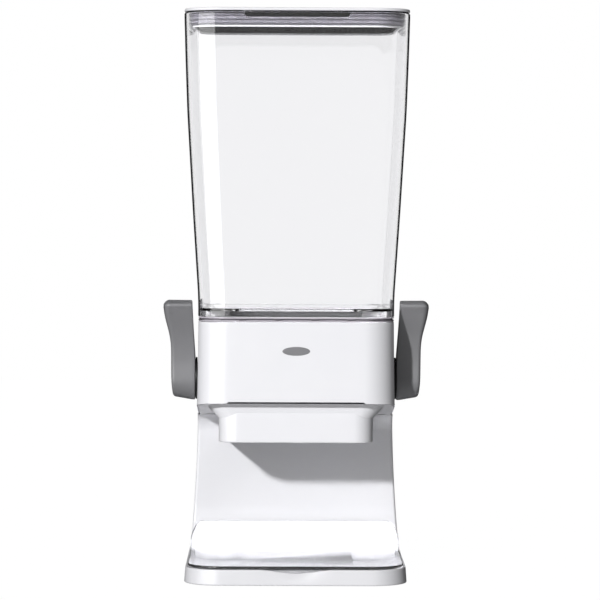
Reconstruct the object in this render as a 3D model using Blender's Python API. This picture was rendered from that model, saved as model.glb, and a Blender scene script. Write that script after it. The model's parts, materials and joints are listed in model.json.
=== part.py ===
"""Countertop cereal dispenser: a clear bin on a white C-shaped stand.

A shaft runs through the white housing, with a grey lever on each end. It
turns a six-vaned silicone wheel inside a drum, and each pocket of the wheel
drops one small portion down the chute, into a bowl that stands on the base.

Axes: +X is the right-hand side, the front faces -Y, and +Z is up.
The origin is the middle of the resting plane. All sizes are millimetres and
become metres in solid().
"""
import math

import bmesh
import bpy
import numpy as np

MM = 0.001

# Driving dimensions, in millimetres.
WALL = 2.5
GAP = 0.3

FOOT_HEIGHT = 2.6
FOOT_RADIUS = 8.0
BASE_BOTTOM = 1.8
RIM_BOTTOM = 0.6
BASE_TOP = 13.5
BASE_HALF_WIDTH = 91.0
BASE_HALF_DEPTH = 100.0
BASE_CORNER = 30.0
TRAY_FLOOR = 9.6

COLUMN_FRONT = 38.0
COLUMN_REAR = 70.0
COLUMN_HALF_WIDTH = 82.6
COLUMN_TOP = 131.0
FOOT_FILLET = 45.0
TOP_FILLET = 16.0

HOUSING_FRONT = -66.0
HOUSING_REAR = 70.0
HOUSING_HALF_TOP = 80.6
HOUSING_HALF_LOW = 81.8
HOUSING_TOP = 212.6
HOUSING_CORNER = 25.0

CHUTE_FRONT = -52.0
CHUTE_REAR = 37.7
CHUTE_HALF_WIDTH = 63.6
CHUTE_BOTTOM = 113.3
CHUTE_CORNER = 16.0

AXIS_Y = -8.0
AXIS_Z = 164.0
WHEEL_RADIUS = 37.7
WHEEL_HALF = 55.0
VANES = 6
DRUM_BORE = 38.3
DRUM_HALF = 57.0
DRUM_SLOT = 24.9
SHAFT_RADIUS = 4.0
SHAFT_END = 96.5
BUSH_BORE = 4.06

BIN_SEAT = 216.8
BIN_TOP = 465.8
BIN_WALL = 3.0
SPIGOT_BOTTOM = 209.0
LID_TOP = 469.5

POCKET_HALF = 87.0
POCKET_FRONT = -95.6
POCKET_CORNER = 26.0
NOTCH_HALF = 23.0
NOTCH_DEPTH = 3.8
REAR_OPENING_HALF = 55.0
REAR_OPENING_LOW = 22.0
REAR_OPENING_HIGH = 118.0
COVER_THICKNESS = 1.8
POST_RADIUS = 4.0
PILOT_RADIUS = 1.6
SCREW_CLEARANCE = 1.7
BADGE_HALF_WIDTH = 11.5
BADGE_HALF_HEIGHT = 3.8
BADGE_HEIGHT = 189.0
BUSH_RADIUS = 9.0
BUSH_FLANGE_RADIUS = 17.5
HUB_RADIUS = 18.3
LEVER_TIP = 230.4
VOID_LEVELS = (10.0, 14.0, 17.0, 21.0, 26.0, 32.0, 39.0, 47.0, 55.0, 75.0, 95.0, 128.5)

CORNER_STEPS = 6
SIDE_STEPS = 5
ROUND_STEPS = 32


def clear_scene():
    """Remove every object, so that the file can be run again and again."""
    for item in list(bpy.data.objects):
        bpy.data.objects.remove(item)


def finish_material(name, colour, roughness, alpha=1.0):
    """A plain plastic or rubber finish."""
    material = bpy.data.materials.new(name)
    material.use_nodes = True
    shader = material.node_tree.nodes["Principled BSDF"]
    shader.inputs["Base Color"].default_value = (*colour, 1.0)
    shader.inputs["Roughness"].default_value = roughness
    shader.inputs["Metallic"].default_value = 0.0
    shader.inputs["Alpha"].default_value = alpha
    return material


def solid(name, shape, material, origin=(0.0, 0.0, 0.0)):
    """Turn a shape in millimetres into a named object whose origin is at origin."""
    bmesh.ops.recalc_face_normals(shape, faces=shape.faces)
    mesh = bpy.data.meshes.new(name)
    for vert in shape.verts:
        vert.co = [(place - start) * MM for place, start in zip(vert.co, origin)]
    shape.to_mesh(mesh)
    shape.free()
    mesh.materials.append(material)
    mesh.shade_smooth()
    mesh.set_sharp_from_angle(angle=math.radians(35.0))
    item = bpy.data.objects.new(name, mesh)
    item.location = [start * MM for start in origin]
    bpy.context.scene.collection.objects.link(item)
    return item


def change(item, tool_name, shape, operation="DIFFERENCE"):
    """Cut a hidden tool shape from an object, or join it on with UNION."""
    tool = solid(tool_name, shape, item.data.materials[0])
    tool.hide_render = True
    tool.display_type = "WIRE"
    modifier = item.modifiers.new(tool_name, "BOOLEAN")
    modifier.operation = operation
    modifier.object = tool


def outline(half_width, front, rear, front_radius, rear_radius, height):
    """A rectangle with round corners seen from above, as a closed loop of points.

    height is a number, or a function of y for a loop that rises and falls.
    """
    corners = (
        (half_width - rear_radius, rear - rear_radius, rear_radius, 0.0),
        (rear_radius - half_width, rear - rear_radius, rear_radius, 90.0),
        (front_radius - half_width, front + front_radius, front_radius, 180.0),
        (half_width - front_radius, front + front_radius, front_radius, 270.0),
    )
    points = []
    for number, (x, y, radius, start) in enumerate(corners):
        for step in range(CORNER_STEPS + 1):
            angle = math.radians(start + 90.0 * step / CORNER_STEPS)
            points.append((x + radius * math.cos(angle), y + radius * math.sin(angle)))
        if number in (1, 3):
            first = points[-1]
            last_y = front + front_radius if number == 1 else rear - rear_radius
            for step in range(1, SIDE_STEPS):
                part = step / SIDE_STEPS
                points.append((first[0], first[1] + (last_y - first[1]) * part))
    if callable(height):
        return [(x, y, height(y)) for x, y in points]
    return [(x, y, height) for x, y in points]


def add_cap(shape, loop):
    """Close a loop with rungs between its mirrored points, which suits curved floors."""
    count = len(loop)
    turn = 2 * CORNER_STEPS + 1
    start = CORNER_STEPS + 1
    for number in range(start, start + count // 2 - 1):
        left = loop[number % count]
        next_left = loop[(number + 1) % count]
        right = loop[(turn - number) % count]
        next_right = loop[(turn - number - 1) % count]
        shape.faces.new((left, next_left, next_right, right))


def stack(loops, ring=False):
    """Join loops one after another; ring=True also joins the last to the first."""
    shape = bmesh.new()
    rows = [[shape.verts.new(point) for point in loop] for loop in loops]
    pairs = list(zip(rows, rows[1:]))
    if ring:
        pairs.append((rows[-1], rows[0]))
    for low, high in pairs:
        for number in range(len(low)):
            after = (number + 1) % len(low)
            shape.faces.new((low[number], low[after], high[after], high[number]))
    if not ring:
        add_cap(shape, rows[0])
        add_cap(shape, rows[-1])
    return shape


def prism(points, start, end):
    """Extrude an outline of (y, z) points along X from start to end."""
    shape = bmesh.new()
    near = [shape.verts.new((start, y, z)) for y, z in points]
    far = [shape.verts.new((end, y, z)) for y, z in points]
    for number in range(len(points)):
        after = (number + 1) % len(points)
        shape.faces.new((near[number], near[after], far[after], far[number]))
    shape.faces.new(near)
    shape.faces.new(far)
    return shape


def box(low, high):
    """A block between two opposite corners."""
    points = ((low[1], low[2]), (high[1], low[2]), (high[1], high[2]), (low[1], high[2]))
    return prism(points, low[0], high[0])


def turned(profile, centre, along, steps=ROUND_STEPS):
    """Turn (distance, radius) pairs about the axis 'along' through centre.

    A profile that starts and ends at radius 0 makes a solid, and any other
    profile closes on itself and makes a ring.
    """
    shape = bmesh.new()
    axis = "XYZ".index(along)
    side = (axis + 1) % 3
    other = (axis + 2) % 3
    rows = []
    for distance, radius in profile:
        row = []
        for step in range(steps if radius > 0.0 else 1):
            angle = 2.0 * math.pi * step / steps
            point = [0.0, 0.0, 0.0]
            point[axis] = centre[axis] + distance
            point[side] = centre[side] + radius * math.cos(angle)
            point[other] = centre[other] + radius * math.sin(angle)
            row.append(shape.verts.new(point))
        rows.append(row)
    pairs = list(zip(rows, rows[1:]))
    if profile[0][1] > 0.0:
        pairs.append((rows[-1], rows[0]))
    for low, high in pairs:
        for step in range(steps):
            after = (step + 1) % steps
            ring = [low[step % len(low)], low[after % len(low)]]
            ring += [high[after % len(high)], high[step % len(high)]]
            shape.faces.new(list(dict.fromkeys(ring)))
    return shape


def rod(start, end, radius, centre, along, steps=ROUND_STEPS):
    """A plain cylinder between two distances along an axis."""
    profile = ((start, 0.0), (start, radius), (end, radius), (end, 0.0))
    return turned(profile, centre, along, steps)


def screw(name, centre, along, way, material, length=9.0):
    """A countersunk screw: its head starts at centre and its shank points along 'way'."""
    profile = ((0.0, 0.0), (0.0, 2.6), (1.3 * way, 1.3), (length * way, 1.3), (length * way, 0.0))
    return solid(name, turned(profile, centre, along, 16), material)


def drop_share(z):
    """How far down the column a height is: 0 at its top and 1 at the base."""
    return max(0.0, COLUMN_TOP - z) / (COLUMN_TOP - BASE_TOP)


def column_half(z):
    """Half the column's width: it flares into the base."""
    return COLUMN_HALF_WIDTH + 6.1 * drop_share(z) ** 1.7


def column_rear(z):
    """The column's back face: it sweeps back to the rear edge of the base."""
    return COLUMN_REAR + 27.5 * drop_share(z) ** 2.2


def fillet_y(z, grow=0.0):
    """The sweep between the tray floor and the column's front face."""
    centre_z = TRAY_FLOOR + FOOT_FILLET
    if z >= centre_z:
        return COLUMN_FRONT + grow
    reach = (FOOT_FILLET + grow) ** 2 - (centre_z - z) ** 2
    return COLUMN_FRONT - FOOT_FILLET + math.sqrt(max(reach, 0.0))


def column_front(z):
    """The column's front face, with its sweep below and its cove under the housing."""
    cove_z = COLUMN_TOP - TOP_FILLET + 1.0
    if z <= cove_z:
        return fillet_y(z)
    return COLUMN_FRONT - TOP_FILLET + math.sqrt(TOP_FILLET ** 2 - (z - cove_z) ** 2)


def base_outline(inset, z):
    """The base seen from above, drawn in by inset."""
    radius = BASE_CORNER - inset
    half = BASE_HALF_WIDTH - inset
    depth = BASE_HALF_DEPTH - inset
    return outline(half, -depth, depth, radius, radius, z)


def stand_shell(material):
    """The white C-shaped stand: base top, rim and column in one moulding."""
    loops = [base_outline(1.0, RIM_BOTTOM), base_outline(0.0, RIM_BOTTOM + 1.0)]
    loops += [base_outline(1.0, BASE_TOP - 1.0), base_outline(1.8, BASE_TOP)]
    heights = [BASE_TOP, 17.0, 21.0, 26.0, 32.0, 39.0, 47.0, 55.0, 75.0, 95.0, 116.0]
    heights += [121.0, 126.0, 129.0, COLUMN_TOP]
    for z in heights:
        front = column_front(z)
        rear_radius = 20.0 + 8.0 * drop_share(z)
        loops.append(outline(column_half(z), front, column_rear(z), 1.5, rear_radius, z))
    shell = solid("stand_shell", stack(loops), material)

    void = [base_outline(WALL + 1.0, -1.0), base_outline(WALL + 1.0, TRAY_FLOOR - WALL)]
    for z in (TRAY_FLOOR - WALL + 0.4, *VOID_LEVELS):
        share = drop_share(max(z, BASE_TOP))
        half = column_half(max(z, BASE_TOP)) - WALL
        rear = column_rear(max(z, BASE_TOP)) - WALL
        void.append(outline(half, fillet_y(z, WALL), rear, 2.0, 18.5 + 8.0 * share, z))
    change(shell, "tool_stand_void", stack(void))

    pocket = []
    for z in (TRAY_FLOOR, 10.4, 11.6, BASE_TOP, BASE_TOP + 0.6):
        rear = fillet_y(z) + GAP
        pocket.append(outline(POCKET_HALF, POCKET_FRONT, rear, POCKET_CORNER, 1.0, z))
    change(shell, "tool_tray_pocket", stack(pocket))

    notch_radius = (NOTCH_HALF ** 2 + NOTCH_DEPTH ** 2) / (2.0 * NOTCH_DEPTH)
    notch_centre = (0.0, 0.0, BASE_TOP - NOTCH_DEPTH + notch_radius)
    change(shell, "tool_finger_notch", rod(-110.0, -93.0, notch_radius, notch_centre, "Y", 96))

    seat = CHUTE_HALF_WIDTH + 0.4
    change(shell, "tool_chute_seat", box((-seat, 10.0, 112.0), (seat, 38.05, 140.0)))
    low = (-REAR_OPENING_HALF, 62.0, REAR_OPENING_LOW)
    high = (REAR_OPENING_HALF, 110.0, REAR_OPENING_HIGH)
    change(shell, "tool_rear_opening", box(low, high))
    return shell


def cover_screw_places():
    """Left and right, low and high on the rear cover."""
    return [(side * 48.0, height) for side in (-1, 1) for height in (31.0, 108.0)]


def base_screw_places():
    """Near the four corners of the bottom plate."""
    return [(side * 62.0, end * 62.0) for side in (-1, 1) for end in (-1, 1)]


def blind_post(start, end, depth, centre, along):
    """A post from start to end with a blind screw hole of the given depth in its end."""
    way = 1.0 if end > start else -1.0
    floor = end - way * depth
    profile = ((start, 0.0), (start, POST_RADIUS), (end, POST_RADIUS))
    profile += ((end, PILOT_RADIUS), (floor, PILOT_RADIUS), (floor, 0.0))
    return turned(profile, centre, along, 16)


def add_screw_posts(shell):
    """Posts inside the stand, each with a pilot hole for its screw."""
    for number, (x, z) in enumerate(cover_screw_places()):
        rear = column_rear(z) - WALL - 1.5
        post = blind_post(fillet_y(z, 1.2), rear, 9.0, (x, 0.0, z), "Y")
        change(shell, f"tool_cover_post_{number}", post, "UNION")
    for number, (x, y) in enumerate(base_screw_places()):
        place = (x, y, 0.0)
        if y < 0:
            post = blind_post(TRAY_FLOOR - 1.2, BASE_BOTTOM + 2.8, 2.4, place, "Z")
        else:
            rib = box((x - 2.0, 19.5, 9.0), (x + 2.0, y - 0.5, 16.6))
            change(shell, f"tool_base_rib_{number}", rib, "UNION")
            post = blind_post(18.0, BASE_BOTTOM + 2.8, 8.0, place, "Z")
        change(shell, f"tool_base_post_{number}", post, "UNION")


def rear_cover(material):
    """The removable panel in the back of the column, following its sweep."""
    heights = np.linspace(REAR_OPENING_LOW + GAP, REAR_OPENING_HIGH - GAP, 14)
    outer = [(column_rear(z) - 0.4, z) for z in heights]
    inner = [(column_rear(z) - 0.4 - COVER_THICKNESS, z) for z in heights[::-1]]
    half = REAR_OPENING_HALF - GAP
    cover = solid("rear_cover", prism(outer + inner, -half, half), material)
    for number, (x, z) in enumerate(cover_screw_places()):
        face = column_rear(z)
        hole = rod(face - 8.0, face + 2.0, SCREW_CLEARANCE, (x, 0.0, z), "Y", 16)
        change(cover, f"tool_cover_hole_{number}", hole)
        sink = rod(face - 1.7, face + 2.0, 3.0, (x, 0.0, z), "Y", 16)
        change(cover, f"tool_cover_sink_{number}", sink)
    return cover


def base_plate(material):
    """The flat plate that closes the base from below, with seats for feet and screws."""
    edge = WALL + 1.0 + GAP
    loops = [base_outline(edge, BASE_BOTTOM), base_outline(edge, BASE_BOTTOM + 2.5)]
    plate = solid("base_plate", stack(loops), material)
    for number, (x, y) in enumerate(foot_places()):
        seat = rod(0.0, FOOT_HEIGHT + GAP, FOOT_RADIUS + GAP, (x, y, 0.0), "Z")
        change(plate, f"tool_foot_seat_{number}", seat)
    for number, (x, y) in enumerate(base_screw_places()):
        profile = ((0.0, 0.0), (0.0, 3.3), (2.2, 3.0))
        profile += ((3.3, SCREW_CLEARANCE), (6.0, SCREW_CLEARANCE), (6.0, 0.0))
        change(plate, f"tool_plate_hole_{number}", turned(profile, (x, y, 0.0), "Z", 16))
    return plate


def foot_places():
    """One foot inside each corner of the base."""
    return [(side * 72.0, end * 80.0) for end in (-1, 1) for side in (-1, 1)]


def feet(material):
    """Four round rubber feet."""
    names = ("foot_front_left", "foot_front_right", "foot_rear_left", "foot_rear_right")
    for name, (x, y) in zip(names, foot_places()):
        profile = ((0.0, 0.0), (0.0, FOOT_RADIUS - 0.8), (0.8, FOOT_RADIUS))
        profile += ((FOOT_HEIGHT, FOOT_RADIUS), (FOOT_HEIGHT, 0.0))
        solid(name, turned(profile, (x, y, 0.0), "Z", 24), material)


def stand_screws(material):
    """Four screws up into the base and four forward into the column."""
    for number, (x, y) in enumerate(base_screw_places()):
        screw(f"base_screw_{number + 1}", (x, y, 2.3), "Z", 1, material, 4.6)
    for number, (x, z) in enumerate(cover_screw_places()):
        face = column_rear(z) - 0.6
        screw(f"cover_screw_{number + 1}", (x, face, z), "Y", -1, material)


def housing_edge(y):
    """Height of the housing's lower edge, which falls towards the back."""
    return float(np.interp(y, (-66.0, -45.0, 27.0), (146.0, 143.4, COLUMN_TOP + 0.4)))


def housing_outline(inset, z, half):
    """The housing seen from above, drawn in by inset."""
    radius = HOUSING_CORNER - inset
    return outline(half - inset, HOUSING_FRONT + inset, HOUSING_REAR - inset, radius, radius, z)


def housing_shell(material):
    """The white band between bin and stand, open above and below."""
    low = HOUSING_HALF_LOW
    top = HOUSING_HALF_TOP
    loops = [housing_outline(0.7, housing_edge, low)]
    loops += [housing_outline(0.0, lambda y: housing_edge(y) + 0.8, low)]
    loops += [housing_outline(0.0, HOUSING_TOP - 0.7, top), housing_outline(0.7, HOUSING_TOP, top)]
    loops += [housing_outline(WALL, HOUSING_TOP, top), housing_outline(WALL, housing_edge, low)]
    shell = solid("housing_shell", stack(loops, ring=True), material)
    centre = (0.0, AXIS_Y, AXIS_Z)
    change(shell, "tool_shaft_holes", rod(-95.0, 95.0, BUSH_RADIUS + GAP, centre, "X"))
    seat = badge_shape(0.5, HOUSING_FRONT - 1.0, HOUSING_FRONT + 0.9)
    change(shell, "tool_badge_seat", seat)
    return shell


def badge_shape(grow, front, back):
    """The upright oval plate of the badge, made larger all round by grow."""
    shape = bmesh.new()
    half_width = BADGE_HALF_WIDTH + grow
    half_height = BADGE_HALF_HEIGHT + grow
    rows = []
    for y in (front, back):
        angles = np.linspace(0.0, 2.0 * math.pi, 40, endpoint=False)
        across = half_width * np.cos(angles)
        upright = BADGE_HEIGHT + half_height * np.sin(angles)
        rows.append([shape.verts.new((x, y, z)) for x, z in zip(across, upright)])
    for number in range(len(rows[0])):
        after = (number + 1) % len(rows[0])
        shape.faces.new((rows[0][number], rows[0][after], rows[1][after], rows[1][number]))
    shape.faces.new(rows[0])
    shape.faces.new(rows[1])
    return shape


def chute_body(material):
    """The soffit under the housing and the round-cornered chute below it."""
    def soffit(rise):
        return lambda y: housing_edge(y) + rise

    def root(drop, rise=0.2):
        return lambda y: housing_edge(y) - drop if y < 0.0 else housing_edge(y) + rise

    inset = WALL + 0.4
    half = CHUTE_HALF_WIDTH
    inner = half - WALL
    corner = CHUTE_CORNER
    low = HOUSING_HALF_LOW
    front = CHUTE_FRONT
    rear = CHUTE_REAR
    loops = [housing_outline(inset, soffit(5.0), low), housing_outline(inset, soffit(0.2), low)]
    loops += [outline(half + 0.6, front - 0.6, rear - 0.6, corner + 0.6, 2.0, root(0.6))]
    loops += [outline(half, front, rear - 0.6, corner, 2.0, root(1.6, -0.15))]
    loops += [outline(half, front, rear, corner, 2.0, CHUTE_BOTTOM)]
    for height in (CHUTE_BOTTOM, root(0.2, 2.6)):
        loops += [outline(inner, front + WALL, rear - WALL, corner - WALL, 1.0, height)]
    loops += [housing_outline(inset + WALL, soffit(rise), low) for rise in (2.7, 5.0)]
    return solid("chute_body", stack(loops, ring=True), material)


def hopper_funnel(material):
    """Guides the cereal from the bin's opening onto the wheel."""
    rim = HOUSING_TOP - 4.0
    near = AXIS_Y - 22.6
    far = AXIS_Y + 22.6
    loops = [housing_outline(3.2, height, HOUSING_HALF_TOP) for height in (rim, rim - 1.6)]
    loops += [outline(56.7, near, far, 2.0, 2.0, 199.0), outline(56.7, near, far, 2.0, 2.0, 196.3)]
    loops += [outline(55.6, near + 1.4, far - 1.4, 1.0, 1.0, 196.3)]
    loops += [outline(55.6, near + 1.4, far - 1.4, 1.0, 1.0, 200.2)]
    loops += [housing_outline(4.6, rim, HOUSING_HALF_TOP)]
    return solid("hopper_funnel", stack(loops, ring=True), material)


def wheel_drum(material):
    """The drum around the wheel: two curved walls between two end discs."""
    centre = (0.0, AXIS_Y, AXIS_Z)
    outer = DRUM_BORE + 1.5
    drum = solid("wheel_drum", rod(-DRUM_HALF - 1.2, DRUM_HALF + 1.2, outer, centre, "X", 48), material)
    change(drum, "tool_drum_bore", rod(-DRUM_HALF, DRUM_HALF, DRUM_BORE, centre, "X", 48))
    low = (-DRUM_HALF, AXIS_Y - DRUM_SLOT, AXIS_Z - 50.0)
    high = (DRUM_HALF, AXIS_Y + DRUM_SLOT, AXIS_Z + 50.0)
    change(drum, "tool_drum_mouths", box(low, high))
    change(drum, "tool_drum_flat", box((-70.0, -60.0, 198.5), (70.0, 50.0, 215.0)))
    change(drum, "tool_drum_shaft", rod(-70.0, 70.0, SHAFT_RADIUS + 0.6, centre, "X"))
    return drum


def shaft_bushing(name, side, material):
    """A flanged black bush in the housing's side, seen as a dark ring behind the lever."""
    profile = ((77.5, BUSH_BORE), (77.5, BUSH_RADIUS), (82.1, BUSH_RADIUS))
    profile += ((82.1, BUSH_FLANGE_RADIUS), (83.4, BUSH_FLANGE_RADIUS), (83.4, BUSH_BORE))
    profile = [(side * distance, radius) for distance, radius in profile]
    solid(name, turned(profile, (0.0, AXIS_Y, AXIS_Z), "X", 48), material)


def drive_shaft(material):
    """The shaft through housing, drum and wheel, with a tapped hole in each end."""
    end = SHAFT_END
    origin = (0.0, AXIS_Y, AXIS_Z)
    profile = ((-end, 0.0), (-end, SHAFT_RADIUS), (end, SHAFT_RADIUS), (end, 0.0))
    shaft = solid("drive_shaft", turned(profile, origin, "X", 48), material, origin)
    for number, side in enumerate((-1, 1)):
        start = side * (end - 9.0)
        hole = rod(min(start, side * 110.0), max(start, side * 110.0), 1.8, origin, "X", 16)
        change(shaft, f"tool_shaft_end_{number}", hole)


def wheel_core(material):
    """The stiff sleeve that fixes the soft wheel to the shaft."""
    origin = (0.0, AXIS_Y, AXIS_Z)
    half = WHEEL_HALF + 1.5
    inner = SHAFT_RADIUS + GAP
    profile = ((-half, inner), (-half, 7.2), (half, 7.2), (half, inner))
    solid("wheel_core", turned(profile, origin, "X"), material, origin)


def paddle_wheel(material):
    """Six soft vanes on a hub, which carry one portion between each pair."""
    origin = (0.0, AXIS_Y, AXIS_Z)
    outer = []
    for vane in range(VANES):
        middle = 2.0 * math.pi * (vane + 0.5) / VANES
        for radius, thickness in ((10.5, -2.2), (35.0, -1.3), (WHEEL_RADIUS, -0.8)):
            outer.append((radius, middle + math.asin(thickness / radius)))
        for radius, thickness in ((WHEEL_RADIUS, 0.8), (35.0, 1.3), (10.5, 2.2)):
            outer.append((radius, middle + math.asin(thickness / radius)))
        for step in (1, 2):
            outer.append((9.5, middle + 2.0 * math.pi / VANES * (0.2 + 0.2 * step)))
    inner = [(7.5, angle) for radius, angle in outer]
    loops = []
    half = WHEEL_HALF
    for x, ring in ((-half, outer), (half, outer), (half, inner), (-half, inner)):
        loops.append([(x, AXIS_Y + r * math.cos(a), AXIS_Z + r * math.sin(a)) for r, a in ring])
    solid("paddle_wheel", stack(loops, ring=True), material, origin)


def smooth_path(points, count):
    """Points along a smooth curve through a few places (Catmull-Rom)."""
    places = [np.array(point, dtype=float) for point in points]
    places = [2 * places[0] - places[1]] + places + [2 * places[-1] - places[-2]]
    path = []
    for share in np.linspace(0.0, len(places) - 3.0, count):
        span = min(int(share), len(places) - 4)
        t = share - span
        a, b, c, d = places[span:span + 4]
        bend = (2 * a - 5 * b + 4 * c - d) * t ** 2 + (3 * b - a - 3 * c + d) * t ** 3
        path.append(0.5 * (2 * b + (c - a) * t + bend))
    return path


def lever_edges():
    """Front and rear edge of the lever from the side: a round hub and a forward-leaning arm."""
    def on_hub(degrees):
        angle = math.radians(degrees)
        return (AXIS_Y + HUB_RADIUS * math.cos(angle), AXIS_Z + HUB_RADIUS * math.sin(angle))

    front = [on_hub(degrees) for degrees in np.linspace(-100.0, -180.0, 6)]
    rear = [on_hub(degrees) for degrees in np.linspace(-80.0, 62.0, 8)]
    arm = (front[-1], (-26.2, 180.0), (-29.6, 198.0), (-37.0, 217.0), (-41.2, 226.6))
    front += list(smooth_path(arm, 10))[1:]
    rear += list(smooth_path((rear[-1], (-11.5, 197.0), (-22.0, 215.0), (-28.0, LEVER_TIP)), 8))[1:]
    return front, rear


def lever_inner_x(z):
    """The face towards the housing leans away above the hub."""
    return float(np.interp(z, (182.0, 209.0, 229.0), (83.7, 85.1, 85.9)))


def lever_outer_x(z):
    """The outer face is upright at the hub and swells outwards at the grip."""
    heights = (146.0, 164.0, 194.0, 201.5, 212.0, 221.0, 229.0)
    return float(np.interp(z, heights, (102.2, 103.5, 103.7, 104.9, 107.8, 109.7, 109.9)))


def handle(name, side, material):
    """A lever: layers of one outline from its inner to its outer face."""
    origin = (0.0, AXIS_Y, AXIS_Z)
    front, rear = lever_edges()
    shape = bmesh.new()
    layers = []
    for share, inset in ((0.0, 0.6), (0.04, 0.0), (0.5, 0.7), (0.86, 1.6), (0.96, 2.3), (1.0, 3.6)):
        layer = []
        for a, b in zip(front, rear):
            middle = 0.5 * (np.array(a) + np.array(b))
            half = np.linalg.norm(np.array(a) - middle)
            keep = max(0.35, 1.0 - inset / half)
            pair = []
            for point in (a, b):
                y, z = middle + (np.array(point) - middle) * keep
                pair.append((y, min(z, LEVER_TIP - inset * 0.6) + inset * 0.8 * (z < 150.0)))
            layer.append(pair)
        rows = []
        for pair in layer:
            row = []
            for y, z in pair:
                x = lever_inner_x(z) + (lever_outer_x(z) - lever_inner_x(z)) * share
                row.append(shape.verts.new((side * x, y, z)))
            rows.append(row)
        layers.append(rows)
    last = len(front) - 1
    for low, high in zip(layers, layers[1:]):
        for step in range(last):
            for edge in (0, 1):
                ring = (low[step][edge], low[step + 1][edge], high[step + 1][edge], high[step][edge])
                shape.faces.new(ring)
        for step in (0, last):
            shape.faces.new((low[step][0], low[step][1], high[step][1], high[step][0]))
    for rows in (layers[0], layers[-1]):
        for step in range(last):
            shape.faces.new((rows[step][0], rows[step][1], rows[step + 1][1], rows[step + 1][0]))
    lever = solid(name, shape, material, origin)
    steps = ((70.0, 0.0), (70.0, SHAFT_RADIUS + GAP), (SHAFT_END + 0.5, SHAFT_RADIUS + GAP))
    steps += ((SHAFT_END + 0.5, 1.8), (100.0, 1.8), (100.0, 4.0), (120.0, 4.0), (120.0, 0.0))
    bore = [(side * distance, radius) for distance, radius in steps]
    change(lever, f"tool_bore_{name}", turned(bore, origin, "X", 24))


def handle_screw(name, side, material):
    """The pan-head screw that holds a lever on the shaft."""
    profile = ((101.9, 0.0), (101.9, 3.0), (100.3, 3.6), (100.3, 1.4), (89.0, 1.4), (89.0, 0.0))
    profile = [(side * distance, radius) for distance, radius in profile]
    origin = (0.0, AXIS_Y, AXIS_Z)
    solid(name, turned(profile, origin, "X", 16), material, origin)


def bin_half(z):
    """Half the bin's outer width: upright at the seat, then widening to the rim."""
    heights = (232.0, 300.0, 385.0, 430.0, BIN_TOP)
    return float(np.interp(z, heights, (80.8, 85.3, 90.3, 91.9, 92.9)))


def bin_outline(inset, z):
    """The bin seen from above, drawn in by inset."""
    grow = (bin_half(z) - 80.8) / 3.0
    radius = HOUSING_CORNER + grow * 0.8 - inset
    return outline(bin_half(z) - inset, HOUSING_FRONT - grow + inset,
                   HOUSING_REAR + grow - inset, radius, radius, z)


def container(material):
    """The clear bin: tapered walls, a sloped floor with a slot, and a spigot below."""
    near = AXIS_Y - 18.0
    far = AXIS_Y + 18.0
    loops = [bin_outline(3.4, SPIGOT_BOTTOM), bin_outline(3.4, BIN_SEAT)]
    loops += [bin_outline(0.4, BIN_SEAT), bin_outline(0.0, BIN_SEAT + 0.6)]
    walls = (232.0, 265.0, 300.0, 342.0, 385.0, 425.0, BIN_TOP - 0.8)
    loops += [bin_outline(0.0, z) for z in walls]
    loops += [bin_outline(0.8, BIN_TOP), bin_outline(BIN_WALL - 0.6, BIN_TOP)]
    loops += [bin_outline(BIN_WALL, z) for z in (BIN_TOP - 1.0, *walls[-2:0:-1], 223.4)]
    loops += [outline(50.0, near, far, 6.0, 6.0, 215.4), outline(50.0, near, far, 6.0, 6.0, 212.0)]
    loops += [outline(52.0, near - 2.0, far + 2.0, 8.0, 8.0, 212.0)]
    loops += [bin_outline(5.6, 220.5), bin_outline(5.6, SPIGOT_BOTTOM)]
    return solid("container", stack(loops, ring=True), material, (0.0, 0.0, BIN_SEAT))


def container_seal(material):
    """The soft grey gasket between bin and housing."""
    z = (HOUSING_TOP + GAP, BIN_SEAT - GAP)
    half = HOUSING_HALF_TOP
    loops = [housing_outline(0.3, z[0], half), housing_outline(0.0, z[0] + 1.0, half)]
    loops += [housing_outline(0.0, z[1] - 1.0, half), housing_outline(0.3, z[1], half)]
    loops += [housing_outline(2.8, z[1], half), housing_outline(2.8, z[0], half)]
    return solid("container_seal", stack(loops, ring=True), material)


def lid(white, dark, seal):
    """The lid: white cover, dark hollow plug and a finned soft seal around it."""
    origin = (0.0, 0.0, BIN_TOP)
    cover = [bin_outline(1.2, z) for z in (BIN_TOP + 0.9,)]
    cover += [bin_outline(0.2, BIN_TOP + 1.5), bin_outline(0.2, LID_TOP - 1.0)]
    cover += [bin_outline(1.2, LID_TOP - 0.2), bin_outline(6.0, LID_TOP)]
    solid("lid_cover", stack(cover), white, origin)
    plug_top = BIN_TOP + 0.5
    plug = [bin_outline(9.0, 463.4), bin_outline(8.4, 454.0), bin_outline(6.4, 453.6)]
    plug += [bin_outline(6.4, 464.9), bin_outline(4.6, 465.2), bin_outline(4.6, plug_top)]
    item = solid("lid_plug", stack(plug), dark, origin)
    notch = ((-42.5, plug_top + 1.0), (42.5, plug_top + 1.0), (35.5, 462.0), (-35.5, 462.0))
    change(item, "tool_plug_recess", finger_recess(notch))
    fins = []
    for middle in (456.9, 460.1, 463.3):
        for reach, inset in ((-1.2, 5.2), (-0.3, 3.3), (0.3, 3.3)):
            fins.append(bin_outline(inset, middle + reach))
    fins += [bin_outline(5.2, 464.5), bin_outline(6.1, 464.5), bin_outline(6.1, 455.4)]
    ring = solid("lid_seal", stack(fins, ring=True), seal, origin)
    change(ring, "tool_seal_recess", finger_recess(notch))


def finger_recess(points):
    """A shallow trapezoid pocket in the front of the plug, below the cover."""
    shape = bmesh.new()
    near = [shape.verts.new((x, -80.0, z)) for x, z in points]
    far = [shape.verts.new((x, -62.3, z)) for x, z in points]
    for number in range(4):
        after = (number + 1) % 4
        shape.faces.new((near[number], near[after], far[after], far[number]))
    shape.faces.new(near)
    shape.faces.new(far)
    return shape


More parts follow.
